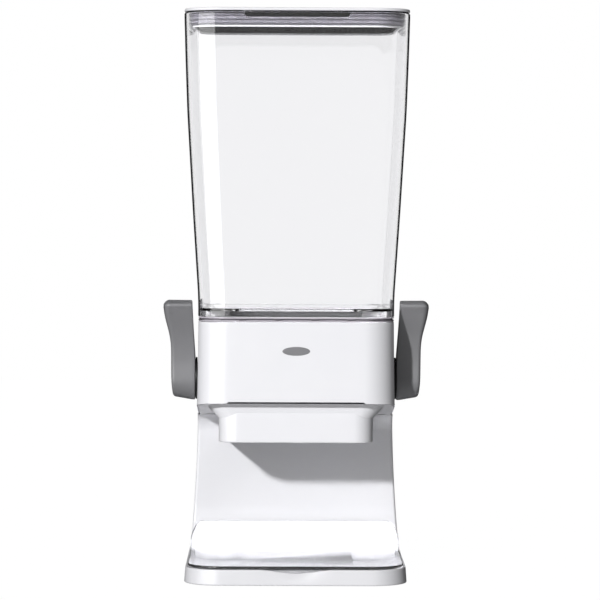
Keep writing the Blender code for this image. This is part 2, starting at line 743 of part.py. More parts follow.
def tray_height(y, grow):
    """Height of a surface that follows the sweep of the stand at a distance grow."""
    centre_y = COLUMN_FRONT - FOOT_FILLET
    radius = FOOT_FILLET - grow
    reach = max(0.0, min(y - centre_y, radius * 0.96))
    return TRAY_FLOOR + FOOT_FILLET - math.sqrt(radius ** 2 - reach ** 2)


def tray_loop(inset, rise, grow):
    """One loop of the tray: its sides rise to the rim, and its back climbs the sweep."""
    def height(y):
        fade = min(1.0, max(0.0, (24.0 - y) / 24.0))
        return tray_height(y, grow) + rise * fade

    rear_radius = max(9.0 - inset, 2.0)
    return outline(88.0 - inset, -98.0 + inset, 32.0 - inset * 0.5, 27.0 - inset, rear_radius, height)


def crumb_tray(material):
    """The clear lift-out tray, which also keeps the bowl in place."""
    under = ((20.0, 0.0), (14.0, 0.4), (8.0, 1.5), (3.6, 2.9), (2.6, 3.9), (0.6, 4.1))
    upper = ((0.0, 3.7), (0.6, 4.2), (3.0, 3.3), (8.0, 1.6), (14.0, 0.5), (20.0, 0.0))
    loops = [tray_loop(inset, rise, 0.4) for inset, rise in under]
    loops += [tray_loop(inset, rise, 2.4) for inset, rise in upper]
    return solid("crumb_tray", stack(loops), material)


def main():
    """Build every piece."""
    clear_scene()
    white = finish_material("white_abs", (0.86, 0.86, 0.87), 0.35)
    white_inner = finish_material("white_inner", (0.80, 0.80, 0.81), 0.45)
    grey = finish_material("grey_handle", (0.10, 0.10, 0.11), 0.45)
    black = finish_material("black_acetal", (0.02, 0.02, 0.02), 0.40)
    clear = finish_material("clear_bin", (0.95, 0.96, 0.97), 0.05, 0.3)
    clear_tray = finish_material("clear_tray", (0.95, 0.96, 0.97), 0.05, 0.3)
    gasket = finish_material("grey_gasket", (0.26, 0.25, 0.27), 0.55)
    lid_dark = finish_material("dark_lid_plug", (0.07, 0.06, 0.07), 0.45)
    lid_soft = finish_material("grey_lid_seal", (0.22, 0.21, 0.23), 0.55)
    silicone = finish_material("wheel_silicone", (0.45, 0.45, 0.46), 0.60)
    rubber = finish_material("foot_rubber", (0.05, 0.05, 0.05), 0.80)
    steel = finish_material("screw_steel", (0.50, 0.50, 0.50), 0.35)
    badge = finish_material("grey_badge", (0.27, 0.27, 0.28), 0.40)

    shell = stand_shell(white)
    add_screw_posts(shell)
    rear_cover(white)
    base_plate(white_inner)
    feet(rubber)
    stand_screws(steel)
    housing_shell(white)
    solid("front_badge", badge_shape(0.0, HOUSING_FRONT - 0.1, HOUSING_FRONT + 0.6), badge)
    chute_body(white)
    hopper_funnel(white_inner)
    wheel_drum(white_inner)
    container_seal(gasket)
    drive_shaft(steel)
    wheel_core(black)
    paddle_wheel(silicone)
    for side, word in ((-1, "left"), (1, "right")):
        shaft_bushing(f"shaft_bushing_{word}", side, black)
        handle(f"handle_{word}", side, grey)
        handle_screw(f"handle_screw_{word}", side, steel)
    container(clear)
    lid(white, lid_dark, lid_soft)
    crumb_tray(clear_tray)


main()
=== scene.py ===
# %% [markdown]
# # Countertop cereal dispenser
# A clear bin stands on a white housing. A soft six-vaned wheel inside the housing
# is turned by a lever on either side, and drops one portion at a time down a chute.
# The solids that move and fit are loaded first. This lesson then puts fine surfaces
# and real finishes on them, and never moves or resizes anything.

# %% Load the fixed frame
import json
import math

import bmesh
import bpy
import numpy as np
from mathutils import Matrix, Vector


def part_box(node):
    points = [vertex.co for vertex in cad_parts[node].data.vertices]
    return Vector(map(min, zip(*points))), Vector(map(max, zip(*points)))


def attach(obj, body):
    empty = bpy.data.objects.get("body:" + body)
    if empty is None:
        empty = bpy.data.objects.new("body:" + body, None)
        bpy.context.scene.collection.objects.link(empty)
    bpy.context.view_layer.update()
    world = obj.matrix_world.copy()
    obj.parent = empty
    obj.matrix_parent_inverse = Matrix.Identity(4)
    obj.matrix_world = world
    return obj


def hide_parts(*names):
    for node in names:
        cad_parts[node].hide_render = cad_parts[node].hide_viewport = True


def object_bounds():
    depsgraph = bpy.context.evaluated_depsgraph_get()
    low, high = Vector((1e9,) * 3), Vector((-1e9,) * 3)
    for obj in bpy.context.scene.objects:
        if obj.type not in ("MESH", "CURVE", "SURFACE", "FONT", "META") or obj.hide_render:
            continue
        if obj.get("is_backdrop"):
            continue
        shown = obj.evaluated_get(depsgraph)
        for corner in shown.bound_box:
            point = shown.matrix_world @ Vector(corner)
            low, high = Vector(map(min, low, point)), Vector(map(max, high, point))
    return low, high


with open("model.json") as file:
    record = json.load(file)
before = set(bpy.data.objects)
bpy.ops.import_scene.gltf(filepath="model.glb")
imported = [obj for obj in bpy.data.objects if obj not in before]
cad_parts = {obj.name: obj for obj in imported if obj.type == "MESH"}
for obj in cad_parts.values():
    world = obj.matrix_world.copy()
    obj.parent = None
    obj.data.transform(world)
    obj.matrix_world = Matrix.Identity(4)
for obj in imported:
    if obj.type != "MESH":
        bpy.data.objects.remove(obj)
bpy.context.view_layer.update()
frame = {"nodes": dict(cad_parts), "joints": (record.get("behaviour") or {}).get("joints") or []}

MM = 0.001
nodes = frame["nodes"]


# %% [markdown]
# ## Measuring the frame
# The main sizes below start from the box of a solid, so a fine piece lands where
# its solid is. Working in millimetres keeps the numbers easy to read.

# %% Boxes in millimetres
def span(node):
    """Lowest and highest corner of a solid, in millimetres."""
    low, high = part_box(node)
    return np.array(low) / MM, np.array(high) / MM


housing_low, housing_high = span("housing_shell")
bin_top = span("container")[1][2]
stand_high = span("stand_shell")[1]
chute_bottom = span("chute_body")[0][2]
hinge = next(joint for joint in frame["joints"] if joint["name"] == "wheel_turn")
AXIS_Y = hinge["pos_m"][1] / MM
AXIS_Z = hinge["pos_m"][2] / MM
print("wheel axis at y, z:", round(AXIS_Y, 2), round(AXIS_Z, 2))


# %% [markdown]
# ## Surfaces from whole arrays
# A moulded case is a rounded outline that changes a little from height to height.
# So a piece is a grid: one row for each step along its wall's profile, one column
# for each place around the outline. numpy fills the grid and one call makes the mesh.

# %% A rounded outline
CORNER = 16
END = 15
SIDE = 19


def outline(half, front, rear, front_radius, rear_radius, rear_x=None, front_x=None):
    """Rectangle with round corners, seen from above.

    Each corner is a quarter circle, centre + radius * (cos, sin), and straight runs
    join the corners with evenly spaced points, or at the x places that are given.
    """
    quarter = np.linspace(0.0, 0.5 * np.pi, CORNER + 1)
    places = ((half - rear_radius, rear - rear_radius, rear_radius),
              (rear_radius - half, rear - rear_radius, rear_radius),
              (front_radius - half, front + front_radius, front_radius),
              (half - front_radius, front + front_radius, front_radius))
    arcs = []
    for turn, (x, y, radius) in enumerate(places):
        angle = quarter + 0.5 * np.pi * turn
        arcs.append(np.stack([x + radius * np.cos(angle), y + radius * np.sin(angle)], 1))
    parts = []
    for turn, count in enumerate((END, SIDE, END, SIDE)):
        share = np.linspace(0.0, 1.0, count + 1)[1:-1, None]
        run = arcs[turn][-1] * (1.0 - share) + arcs[(turn + 1) % 4][0] * share
        if turn == 0 and rear_x is not None:
            run = np.stack([rear_x, np.full(len(rear_x), rear)], 1)
        if turn == 2 and front_x is not None:
            run = np.stack([front_x, np.full(len(front_x), front)], 1)
        parts += [arcs[turn], run]
    return np.concatenate(parts)


def lift(loop, height):
    """Give a flat outline its height: a number, or a function of the (x, y) points."""
    level = height(loop) if callable(height) else np.full(len(loop), height)
    return np.column_stack([loop, level])


# %% Rounding the corners of a wall's profile
def rounded(corners, steps=5):
    """Replace each (a, b, radius) corner by an arc, with a point just before and after it.

    The arc's centre lies on the corner's bisector, radius / sin(half angle) away, and
    the extra points keep the flat runs flat when the surface is shaded smooth.
    """
    points = np.array([corner[:2] for corner in corners], dtype=float)
    path = []
    for number, (_, _, radius) in enumerate(corners):
        here = points[number]
        if radius == 0.0 or number in (0, len(corners) - 1):
            path.append(here[None])
            continue
        back = points[number - 1] - here
        ahead = points[number + 1] - here
        back = back / np.linalg.norm(back)
        ahead = ahead / np.linalg.norm(ahead)
        half_angle = 0.5 * math.acos(np.clip(back @ ahead, -1.0, 1.0))
        reach = radius / math.tan(half_angle)
        middle = here + (back + ahead) / np.linalg.norm(back + ahead) * radius / math.sin(half_angle)
        start = here + back * reach - middle
        end = here + ahead * reach - middle
        swing = math.acos(np.clip(start @ end / radius ** 2, -1.0, 1.0))
        share = np.linspace(0.0, 1.0, steps + 1)[:, None]
        arc = (np.sin((1.0 - share) * swing) * start + np.sin(share * swing) * end) / math.sin(swing)
        path += [(here + back * (reach + 0.35))[None], middle + arc, (here + ahead * (reach + 0.35))[None]]
    return np.concatenate(path)


# %% From grid to mesh
def mesh_piece(name, vertices, faces, material, sharp=40.0):
    """Make a named piece from millimetre points; doubles at seams and poles are merged."""
    mesh = bpy.data.meshes.new(name)
    mesh.from_pydata((np.asarray(vertices) * MM).tolist(), [], [list(face) for face in faces])
    shape = bmesh.new()
    shape.from_mesh(mesh)
    bmesh.ops.remove_doubles(shape, verts=shape.verts, dist=2e-6)
    bmesh.ops.dissolve_degenerate(shape, edges=shape.edges, dist=1e-6)
    bmesh.ops.recalc_face_normals(shape, faces=shape.faces)
    shape.to_mesh(mesh)
    shape.free()
    mesh.shade_smooth()
    mesh.set_sharp_from_angle(angle=math.radians(sharp))
    mesh.materials.append(material)
    piece = bpy.data.objects.new(name, mesh)
    bpy.context.scene.collection.objects.link(piece)
    return piece


def grid_faces(rows, columns, ring=False, wrap=True, start=0):
    """Four corner indices of every cell of a grid, as one whole array."""
    row = np.arange(rows if ring else rows - 1)
    column = np.arange(columns if wrap else columns - 1)
    r, c = np.meshgrid(row, column, indexing="ij")
    after_r = (r + 1) % rows
    after_c = (c + 1) % columns
    cells = np.stack([r * columns + c, r * columns + after_c,
                      after_r * columns + after_c, after_r * columns + c], -1)
    return (cells.reshape(-1, 4) + start).tolist()


def loft(name, loops, material, ring=False, sharp=40.0):
    """Skin a list of loops; a ring closes on itself, anything else gets flat end caps."""
    grid = np.stack(loops)
    rows, columns = grid.shape[:2]
    faces = grid_faces(rows, columns, ring)
    if not ring:
        faces += [list(range(columns)), list(range((rows - 1) * columns, rows * columns))]
    return mesh_piece(name, grid.reshape(-1, 3), faces, material, sharp)


def turned(name, profile, centre, along, material, steps=64):
    """Turn (distance, radius) points about an axis: side = radius * (cos, sin)."""
    profile = np.asarray(profile, dtype=float)
    angle = np.linspace(0.0, 2.0 * np.pi, steps, endpoint=False)
    axis = "XYZ".index(along)
    grid = np.zeros((len(profile), steps, 3))
    grid[..., axis] = profile[:, :1]
    grid[..., (axis + 1) % 3] = profile[:, 1:] * np.cos(angle)
    grid[..., (axis + 2) % 3] = profile[:, 1:] * np.sin(angle)
    grid += np.asarray(centre, dtype=float)
    ring = profile[0, 1] > 0.0
    return mesh_piece(name, grid.reshape(-1, 3), grid_faces(len(profile), steps, ring), material)


def settle(piece, body, slot, *replaced):
    """Ride on a body and stand in for the plain solids. The slot argument is not used."""
    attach(piece, body)
    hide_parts(*replaced)
    return piece


# %% [markdown]
# ## Finishes
# Nearly everything here is moulded plastic. What tells one plastic from another is
# small: how sharp its reflections are, how deep its colour sits, and the faint
# unevenness that flow and shrinkage leave. So each finish has a noise for its
# sheen, one for its tone, and a very shallow bump at the size of the real grain.

# %% Colour and node helpers
def linear(code):
    """Turn an sRGB hex colour into the linear colour that shaders use."""
    value = np.array([int(code[start:start + 2], 16) for start in (0, 2, 4)]) / 255.0
    value = np.where(value <= 0.04045, value / 12.92, ((value + 0.055) / 1.055) ** 2.4)
    return (*value.tolist(), 1.0)


def add(tree, kind, inputs=(), **settings):
    """Add a node with its settings; an input is a value, or another node's socket."""
    made = tree.nodes.new(kind)
    for name, value in settings.items():
        setattr(made, name, value)
    for name, value in dict(inputs).items():
        if isinstance(value, bpy.types.NodeSocket):
            tree.links.new(value, made.inputs[name])
        else:
            made.inputs[name].default_value = value
    return made


def moulded(name, light, dark, roughness, spread, grain_mm, depth_mm, **fixed):
    """A moulded surface: cloudy tone, uneven sheen and a shallow grain.

    tone = mix(light, dark, noise over 60 mm); roughness = roughness +- spread from a
    noise over 9 mm; bump = noise at grain_mm, depth_mm deep.
    """
    material = bpy.data.materials.new(name)
    material.use_nodes = True
    tree = material.node_tree
    shader = tree.nodes["Principled BSDF"]
    for socket, value in fixed.items():
        shader.inputs[socket.replace("_", " ")].default_value = value
    place = add(tree, "ShaderNodeTexCoord").outputs["Object"]
    cloud = add(tree, "ShaderNodeTexNoise", {"Vector": place, "Scale": 1.0 / (60 * MM), "Detail": 3.0})
    tone = add(tree, "ShaderNodeMix", {"Factor": cloud.outputs["Fac"], 6: linear(light), 7: linear(dark)},
               data_type="RGBA")
    tree.links.new(tone.outputs[2], shader.inputs["Base Color"])
    smear = add(tree, "ShaderNodeTexNoise", {"Vector": place, "Scale": 1.0 / (9 * MM), "Detail": 4.0})
    sheen = add(tree, "ShaderNodeMapRange",
                {"Value": smear.outputs["Fac"], "From Min": 0.3, "From Max": 0.7,
                 "To Min": roughness - spread, "To Max": roughness + spread})
    tree.links.new(sheen.outputs["Result"], shader.inputs["Roughness"])
    grain = add(tree, "ShaderNodeTexNoise",
                {"Vector": place, "Scale": 1.0 / (grain_mm * MM), "Detail": 2.0})
    bump = add(tree, "ShaderNodeBump", {"Height": grain.outputs["Fac"], "Distance": depth_mm * MM})
    tree.links.new(bump.outputs["Normal"], shader.inputs["Normal"])
    return material


# %% Painted dark edges for clear resin
def painted_edge_shade(material, light, dark, start, end, level=0.0):
    """Painted dark edges: colour = mix(light, dark, smooth step of the facing angle times uprightness).

    The dark is painted shade for the dark surroundings that a thick clear wall shows near its outline.
    The facing angle runs from start to end. Uprightness is 1 on walls and drops to
    level on faces whose own normal points more than about 30 degrees up or down.
    """
    tree = material.node_tree
    shader = tree.nodes["Principled BSDF"]
    facing = add(tree, "ShaderNodeLayerWeight", {"Blend": 0.5}).outputs["Facing"]
    share = add(tree, "ShaderNodeMapRange", {"Value": facing, "From Min": start, "From Max": end},
                interpolation_type="SMOOTHSTEP")
    way = add(tree, "ShaderNodeTexCoord").outputs["Normal"]
    height = add(tree, "ShaderNodeSeparateXYZ", {"Vector": way}).outputs["Z"]
    tilt = add(tree, "ShaderNodeMath", {0: height}, operation="ABSOLUTE").outputs[0]
    upright = add(tree, "ShaderNodeMapRange", {"Value": tilt, "From Min": 0.30, "From Max": 0.55,
                                               "To Min": 1.0, "To Max": level}).outputs["Result"]
    both = add(tree, "ShaderNodeMath", {0: share.outputs["Result"], 1: upright}, operation="MULTIPLY")
    tone = add(tree, "ShaderNodeMix", {"Factor": both.outputs[0], 6: linear(light), 7: linear(dark)},
               data_type="RGBA")
    tree.links.new(tone.outputs[2], shader.inputs["Base Color"])


# %% White ABS, clear SAN, soft silicone and the rest
# Injection-moulded ABS: a bright, very slightly cool white with a soft gloss.
white_abs = moulded("moulded_white_abs", "DFDFE2", "DBDBDF", 0.34, 0.05, 0.7, 0.004, IOR=1.53)
# A shaded copy of the housing's white ABS for the stand: painted a little greyer so that its brightly lit
# sweep keeps some tone.
stand_white_painted_shade = moulded("moulded_stand_white_painted_shade", "D4D4D7", "D0D0D4", 0.34, 0.05, 0.7, 0.004, IOR=1.53)
# The same resin inside the housing, from a less polished tool: a satin surface.
satin_abs = moulded("moulded_satin_abs", "DEDEE1", "D8D8DC", 0.48, 0.06, 0.5, 0.012, IOR=1.53)
# Glass-filled nylon levers with a fine spark-eroded grain, so highlights spread wide.
grey_nylon = moulded("moulded_grey_nylon", "777779", "707073", 0.50, 0.05, 0.45, 0.020, IOR=1.53)
# Acetal bushes are self-coloured black with a waxy sheen.
black_acetal = moulded("moulded_black_acetal", "141415", "1B1B1C", 0.38, 0.05, 0.8, 0.006, IOR=1.48)
# Clear SAN for the bin: bright, hard and almost colourless.
clear_san = moulded("moulded_clear_san", "FDFDFE", "FAFBFC", 0.012, 0.008, 22.0, 0.010,
                    IOR=1.57, Transmission_Weight=1.0)
# The bin's inner faces: the same resin, a copy whose painted dark edges stay pale.
clear_san_inside = moulded("moulded_clear_san_inside", "FDFDFE", "FAFBFC", 0.012, 0.008, 22.0, 0.010,
                           IOR=1.57, Transmission_Weight=1.0)
# The tray is the same clear resin with a softer gloss.
clear_tray_san = moulded("moulded_clear_tray_san", "FDFDFE", "F8F9FA", 0.16, 0.04, 18.0, 0.010,
                         IOR=1.57, Transmission_Weight=1.0)
# Painted dark edges: only the bin's outer outline is painted dark; the inner faces and the tray get paler
# painted edges.
painted_edge_shade(clear_san, "FBFBFC", "050506", 0.58, 0.70)
painted_edge_shade(clear_san_inside, "FBFBFC", "C4C4C7", 0.75, 0.97)
painted_edge_shade(clear_tray_san, "F8F8FA", "A9A9AF", 0.55, 0.95, 0.12)
# Liquid silicone rubber: matt, dense and slightly dusty at grazing angles.
gasket_silicone = moulded("moulded_gasket_silicone", "B6B1B8", "AEA9B2", 0.55, 0.06, 0.6, 0.010, IOR=1.41)
lid_silicone = moulded("moulded_lid_silicone", "7A7880", "727078", 0.50, 0.06, 0.6, 0.010, IOR=1.41)
wheel_silicone = moulded("moulded_wheel_silicone", "B9BABD", "B0B1B5", 0.52, 0.06, 0.6, 0.015, IOR=1.41)
# Dark grey polypropylene under the lid, satin and a little waxy.
dark_pp = moulded("moulded_dark_pp", "1E1B1D", "1A1819", 0.50, 0.05, 0.6, 0.008,
                 IOR=1.49, Specular_IOR_Level=0.1)
foot_rubber = moulded("moulded_foot_rubber", "2A2A2B", "212122", 0.75, 0.08, 0.9, 0.020, IOR=1.52)
# Zinc-plated steel: bright but hazy, with a slight blue cast.
plated_steel = moulded("plated_steel", "C9CBCE", "BFC1C6", 0.32, 0.08, 0.4, 0.004, Metallic=1.0)
# The badge is a plain grey oval, pad-printed film without any lettering.
badge_film = moulded("printed_grey_film", "7B7B7E", "757578", 0.36, 0.05, 0.5, 0.004, IOR=1.50)
print("finishes:", len(bpy.data.materials))


# %% [markdown]
# ## The stand
# The stand is a C seen from the side: a flat base, a sweep, and a wide column that
# carries the housing. In the mould it would be one piece. Here it is three closed
# surfaces that meet in hidden places: the rim band, the floor under the tray, and
# the column with its sweep.

# %% The stand's own curves
BASE_TOP = 13.5
TRAY_FLOOR = 9.6
BAND_BOTTOM = 0.6
BAND_CORNER = 30.0
COLUMN_FRONT = 38.0
FOOT_FILLET = 45.0
TOP_FILLET = 16.0
WALL = 2.5
column_top = stand_high[2]
base_half = stand_high[0]
base_depth = stand_high[1]
sweep_y = COLUMN_FRONT - FOOT_FILLET
sweep_z = TRAY_FLOOR + FOOT_FILLET


def smooth(value, start, end):
    """0 before start, 1 after end, and 3t^2 - 2t^3 between them."""
    t = np.clip((np.asarray(value, dtype=float) - start) / (end - start), 0.0, 1.0)
    return t * t * (3.0 - 2.0 * t)


def drop_share(z):
    """0 at the column's top and 1 at the base."""
    return min(1.0, max(0.0, column_top - z) / (column_top - BASE_TOP))


def column_half(z):
    """Half the column's width: a power curve that flares into the base."""
    return 82.6 + 6.1 * drop_share(z) ** 1.7


def column_rear(z):
    """The back face sweeps out to the rear edge of the base."""
    return 70.0 + 27.5 * drop_share(z) ** 2.2


def column_front(z):
    """Sweep from the tray floor, upright face, then a cove under the housing."""
    cove_z = column_top - TOP_FILLET + 1.0
    if z < sweep_z:
        return sweep_y + math.sqrt(max(FOOT_FILLET ** 2 - (sweep_z - z) ** 2, 0.0))
    if z > cove_z:
        return COLUMN_FRONT - TOP_FILLET + math.sqrt(TOP_FILLET ** 2 - (z - cove_z) ** 2)
    return COLUMN_FRONT


# %% The rim band, with its finger scoop
SCOOP_HALF = 27.0
SCOOP_DEPTH = 2.6


def base_band():
    """A wall around the base whose top edge dips in front, so a finger can lift the tray.

    Every loop is the base outline drawn in by an inset. In front the top is lowered
    and the outer face is laid back by (1 - (x / half)^2)^1.5.
    """
    low_z = BAND_BOTTOM + 0.2
    profile = rounded(((3.2, low_z, 0.0), (0.0, BAND_BOTTOM, 1.0), (1.0, BASE_TOP, 0.9),
                       (3.2, BASE_TOP, 0.5), (3.4, low_z, 0.0)))
    loops = []
    for inset, z in profile:
        corner = BAND_CORNER - inset
        loop = lift(outline(base_half - inset, inset - base_depth, base_depth - inset, corner, corner), z)
        share = np.clip(1.0 - (loop[:, 0] / SCOOP_HALF) ** 2, 0.0, 1.0) ** 1.5 * (loop[:, 1] < 0.0)
        high = smooth(z, 6.6, BASE_TOP)
        loop[:, 1] += share * high * 1.9 * (inset < 2.0)
        loop[:, 2] -= share * smooth(z, 10.0, BASE_TOP) * SCOOP_DEPTH
        loops.append(loop)
    return loft("stand_base_band", loops, stand_white_painted_shade, ring=True)


def tray_seat():
    """The flat floor that the tray lies on."""
    profile = rounded(((0.0, 6.6, 0.0), (0.0, 7.0, 0.2), (0.0, TRAY_FLOOR, 0.25), (3.0, TRAY_FLOOR, 0.0)))
    loops = []
    for inset, z in profile:
        loops.append(lift(outline(87.7 - inset, inset - 96.7, 40.0, 26.6 - inset, 4.0), z))
    return loft("stand_tray_seat", loops, stand_white_painted_shade)


def column():
    """The hollow column: outer loops up, inner loops down, and a shallow seat for the rear panel."""
    edge = np.array([57.5, 55.8, 55.4, 53.5, 36.0, 18.0])
    rear_x = np.concatenate([edge, [0.0], -edge[::-1]])
    bay = np.array([72.0, 65.0, 64.2, 63.8, 50.0, 25.0])
    front_x = np.concatenate([-bay, [0.0], bay[::-1]])
    sweep = sweep_z - FOOT_FILLET * np.cos(np.radians(np.linspace(0.0, 90.0, 40)))
    rise = np.linspace(sweep_z, 115.5, 16)
    cove = 116.0 + TOP_FILLET * np.sin(np.radians(np.linspace(0.0, 76.4, 16)))
    marks = [21.2, 21.6, 118.4, 118.8]
    levels = np.unique(np.round(np.concatenate([[8.6], sweep, rise, cove, marks]), 3))
    loops = []
    for z in levels:
        radius = 20.0 + 8.0 * drop_share(z)
        loop = outline(column_half(z), column_front(z), column_rear(z), 2.2, radius, rear_x, front_x)
        loop = lift(loop, z)
        seat = (np.abs(loop[:, 0]) < 55.6) & (loop[:, 1] > 60.0) & (21.4 < z < 118.6)
        loop[seat, 1] -= 2.0
        behind_chute = (np.abs(loop[:, 0]) < 64.0) & (loop[:, 1] < 50.0) & (z > 100.0)
        loop[behind_chute, 1] = COLUMN_FRONT
        loops.append(loop)
    for z in levels[::-1]:
        radius = 16.0 + 8.0 * drop_share(z)
        low_z = max(z, 12.5)
        front = min(column_front(low_z) + WALL + 2.5, 42.0)
        rear = column_rear(z) - WALL - 2.0
        loop = outline(column_half(z) - WALL, front, rear, 2.0, radius, rear_x, front_x)
        behind_chute = (np.abs(loop[:, 0]) < 64.4) & (loop[:, 1] < 50.0) & (z > 100.0)
        loop[behind_chute, 1] = 42.0
        loops.append(lift(loop, z))
    return loft("stand_column", loops, stand_white_painted_shade, ring=True)


settle(base_band(), "stand", "white_abs", "stand_shell")
settle(tray_seat(), "stand", "white_abs", "stand_shell")
settle(column(), "stand", "white_abs", "stand_shell")
print("column half width at mid height:", round(column_half(70.0), 1))


# %% [markdown]
# ## The housing and the chute
# The housing is a plain band with large corners. Its lower edge falls a little
# towards the back. The chute hangs from a recessed soffit and ends in an open mouth.

# %% Housing
HOUSING_BOTTOM = 146.0
HOUSING_CORNER = 25.0
half_low = housing_high[0]
half_top = half_low - 1.2
housing_front = housing_low[1]
housing_rear = housing_high[1]
housing_top = housing_high[2]


def housing_half(z):
    """The band is a touch narrower at its top."""
    height = housing_top - HOUSING_BOTTOM
    return half_low + (half_top - half_low) * np.clip((z - HOUSING_BOTTOM) / height, 0.0, 1.0)


def housing_edge(loop):
    """Height of the lower edge: level in front, then falling to the column's top."""
    heights = (HOUSING_BOTTOM, HOUSING_BOTTOM - 0.7, HOUSING_BOTTOM - 2.6, column_top + 0.4)
    return np.interp(loop[:, 1], (-66.0, -58.0, -45.0, 27.0), heights)


def housing_flat(half, inset):
    """The housing seen from above, drawn in by an inset."""
    corner = HOUSING_CORNER - inset
    return outline(half - inset, housing_front + inset, housing_rear - inset, corner, corner)


def housing_loop(inset, z, rise):
    """One outline of the housing; rise blends from the sloping lower edge (0) to level z (1)."""
    loop = housing_flat(float(housing_half(z)), inset)
    low = housing_edge(loop)
    return np.column_stack([loop, low + (z - low) * rise])


def housing():
    """Outer wall up, over a small round edge, and down the inside."""
    height = housing_top - HOUSING_BOTTOM
    edge = 1.3
    loops = [housing_loop(WALL, HOUSING_BOTTOM, 0.0), housing_loop(edge, HOUSING_BOTTOM, 0.0)]
    for angle in np.radians(np.linspace(0.0, 90.0, 7)):
        rise = (edge - edge * math.cos(angle)) / height
        loops.append(housing_loop(edge - edge * math.sin(angle), HOUSING_BOTTOM + height, rise))
    for rise in np.linspace(0.03, 0.97, 12):
        loops.append(housing_loop(0.0, HOUSING_BOTTOM + height * rise, rise))
    for drop, inset in ((0.95, 0.0), (0.6, 0.03), (0.25, 0.18), (0.05, 0.45),
                        (0.0, 0.8), (0.0, 2.2), (0.3, WALL)):
        loops.append(housing_loop(inset, housing_top - drop, 1.0))
    for rise in np.linspace(0.97, 0.03, 8):
        loops.append(housing_loop(WALL, HOUSING_BOTTOM + height * rise, rise))
    print("housing loops:", len(loops))
    return loft("housing_band", loops, white_abs, ring=True)


settle(housing(), "stand", "white_abs", "housing_shell")


# %% Chute and soffit
def chute():
    """Soffit and chute in one skin: in under the housing, down the chute, and back up inside."""
    half = 63.6
    front = -56.0
    rear = 37.0
    corner = 16.0
    fillet = 0.7
    bottom = chute_bottom

    def soffit(inset, rise):
        loop = housing_flat(half_low, inset)
        return np.column_stack([loop, housing_edge(loop) + rise])

    def neck(grow, drop):
        loop = outline(half + grow, front - grow, rear, corner + grow, 2.2)
        low = housing_edge(loop)
        fall = drop * smooth(-loop[:, 1], -20.0, 20.0) - 0.15
        return np.column_stack([loop, low - fall])

    def wall(grow, z):
        return lift(outline(half + grow, front - grow, rear, corner + grow, 2.2 + min(grow, 0.0)), z)

    loops = [soffit(2.45, 5.0), soffit(2.4, 0.2)]
    blend = np.linspace(0.0, 1.0, 9)
    start = soffit(1.9, -0.03)
    finish = neck(fillet, 0.6)
    loops += [start * (1.0 - share) + finish * share for share in blend[:-1]]
    for angle in np.radians(np.linspace(0.0, 90.0, 7)):
        loops.append(neck(fillet * (1.0 - math.sin(angle)), 0.6 + fillet * (1.0 - math.cos(angle))))
    for z in np.linspace(138.0, bottom + 1.4, 10):
        row = wall(0.0, z)
        row[:, 2] = np.minimum(row[:, 2], neck(0.0, 1.6)[:, 2])
        loops.append(row)
    for angle in np.radians(np.linspace(15.0, 90.0, 5)):
        loops.append(wall(-0.9 * (1.0 - math.cos(angle)), bottom + 0.9 * (1.0 - math.sin(angle))))
    loops += [wall(-WALL + 0.4, bottom), wall(-WALL, bottom + 0.4)]
    loops += [wall(-WALL, z) for z in (bottom + 1.0, bottom + 8.0, 130.0)]
    loops += [soffit(6.5, 3.0), soffit(6.0, 5.0)]
    return loft("chute_and_soffit", loops, white_abs, ring=True)


settle(chute(), "stand", "white_abs", "chute_body")


# %% [markdown]
# ## Badge, bushes and levers
# The badge is a plain oval let into the housing. The levers are nylon mouldings:
# a round hub, an arm that leans forward, and a grip that swells outwards. Their
# edges are rounded more on the outside, where a hand meets them.

# %% Oval badge
def badge():
    """Rings of an ellipse from the middle out, over a small round edge, and back in behind."""
    low, high = span("front_badge")
    half = np.array([high[0], 0.5 * (high[2] - low[2])])
    middle = 0.5 * (high[2] + low[2])
    angle = np.linspace(0.0, 2.0 * np.pi, 72, endpoint=False)
    ring = np.stack([np.cos(angle), np.sin(angle)], 1)
    loops = []
    centre = half[1] * 0.999
    for inset, y in ((centre, low[1]), (2.0, low[1]), (0.45, low[1]), (0.3, low[1] + 0.02),
                     (0.1, low[1] + 0.12), (0.0, low[1] + 0.35), (0.0, high[1]), (centre, high[1])):
        size = np.maximum(half - inset, 0.004)
        loops.append(np.column_stack([ring[:, 0] * size[0], np.full(72, y), middle + ring[:, 1] * size[1]]))
    return loft("front_badge_oval", loops, badge_film)


settle(badge(), "stand", "grey_badge", "front_badge")


# %% Bushes with a rounded flange
for side, word in ((-1, "left"), (1, "right")):
    low, high = span("shaft_bushing_" + word)
    outer_x = max(abs(low[0]), abs(high[0]))
    inner_x = min(abs(low[0]), abs(high[0]))
    flange = 0.5 * (high[2] - low[2])
    step_x = outer_x - 1.3
    corners = ((inner_x + 0.4, 4.06, 0.0), (inner_x, 4.5, 0.0), (inner_x, 9.0, 0.4), (step_x, 9.0, 0.2),
               (step_x, flange, 0.3), (outer_x, flange, 0.5), (outer_x, 4.06, 0.2))
    profile = rounded(corners, 3) * (side, 1.0)
    bush = turned("bush_" + word, profile, (0.0, AXIS_Y, AXIS_Z), "X", black_acetal, 96)
    settle(bush, "stand", "black_acetal", "shaft_bushing_" + word)
print("bush flange radius:", round(float(flange), 1))


# %% The lever seen from the side
HUB = 18.3


def smooth_path(points, count):
    """A smooth curve through a few places (Catmull-Rom), worked out for all shares at once."""
    places = np.asarray(points, dtype=float)
    places = np.concatenate([2 * places[:1] - places[1:2], places, 2 * places[-1:] - places[-2:-1]])
    share = np.linspace(0.0, len(places) - 3.0, count)
    step = np.minimum(share.astype(int), len(places) - 4)
    t = (share - step)[:, None]
    a, b, c, d = (places[step + offset] for offset in range(4))
    bend = (2 * a - 5 * b + 4 * c - d) * t ** 2 + (3 * b - a - 3 * c + d) * t ** 3
    return 0.5 * (2 * b + (c - a) * t + bend)


